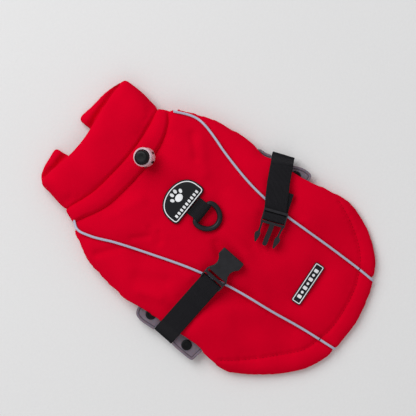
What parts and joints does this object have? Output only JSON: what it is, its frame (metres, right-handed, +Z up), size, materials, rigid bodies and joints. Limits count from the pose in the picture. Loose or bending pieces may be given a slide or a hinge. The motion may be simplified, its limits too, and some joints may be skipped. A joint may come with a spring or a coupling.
{
  "type": "dog winter vest",
  "caption": "Padded winter vest for a small dog, laid flat with the back up, with a stand collar, a cord lock, a lead ring and webbing straps with an unfastened side-release buckle.",
  "frame": {"origin": "on the flat underside of the belly panel, on the midline of the back and halfway along it", "axes": "+X towards the wearer's right, +Y towards the neck, +Z up off the surface that the vest rests on"},
  "size_m": [0.2068, 0.314, 0.0435],
  "materials": {
    "cloth": "matte softshell, padded",
    "piping": "reflective tape with fine ribs",
    "webbing": "woven",
    "plastic": "moulded",
    "band": "smooth, with a raised rim",
    "rubber": "moulded, with white relief",
    "clear": "translucent"
  },
  "bodies": {
    "garment": {"back_panel": "cloth", "side_panel_left": "cloth", "side_panel_right": "cloth", "neck_band": "cloth", "collar": "cloth", "chest_panel": "cloth", "piping_left": "piping", "piping_right": "piping", "band_left": "band", "band_right": "band", "snap_left_front": "plastic", "snap_left_rear": "plastic", "snap_right_rear": "plastic", "buckle_socket": "plastic", "buckle_plug": "plastic", "strap_left": "webbing", "strap_right": "webbing", "badge": "rubber", "label": "rubber", "ring_loop": "webbing", "lock_body": "clear", "drawcord": "webbing"},
    "ring": {"d_ring": "plastic"},
    "button": {"lock_button": "plastic"}
  },
  "joints": [
    {"name": "ring_hinge", "type": "hinge", "parent": "garment", "child": "ring", "pos_m": [0.0008, 0.014, 0.02449], "axis": [-0.9962, 0.0872, 0], "range_deg": [0, 170]},
    {"name": "button_press", "type": "slide", "parent": "garment", "child": "button", "axis": [-0.1439, 0.2151, 0.9659], "range_m": [-0.003, 0], "stiffness_N_per_m": 500, "springref_m": 0.004}
  ]
}
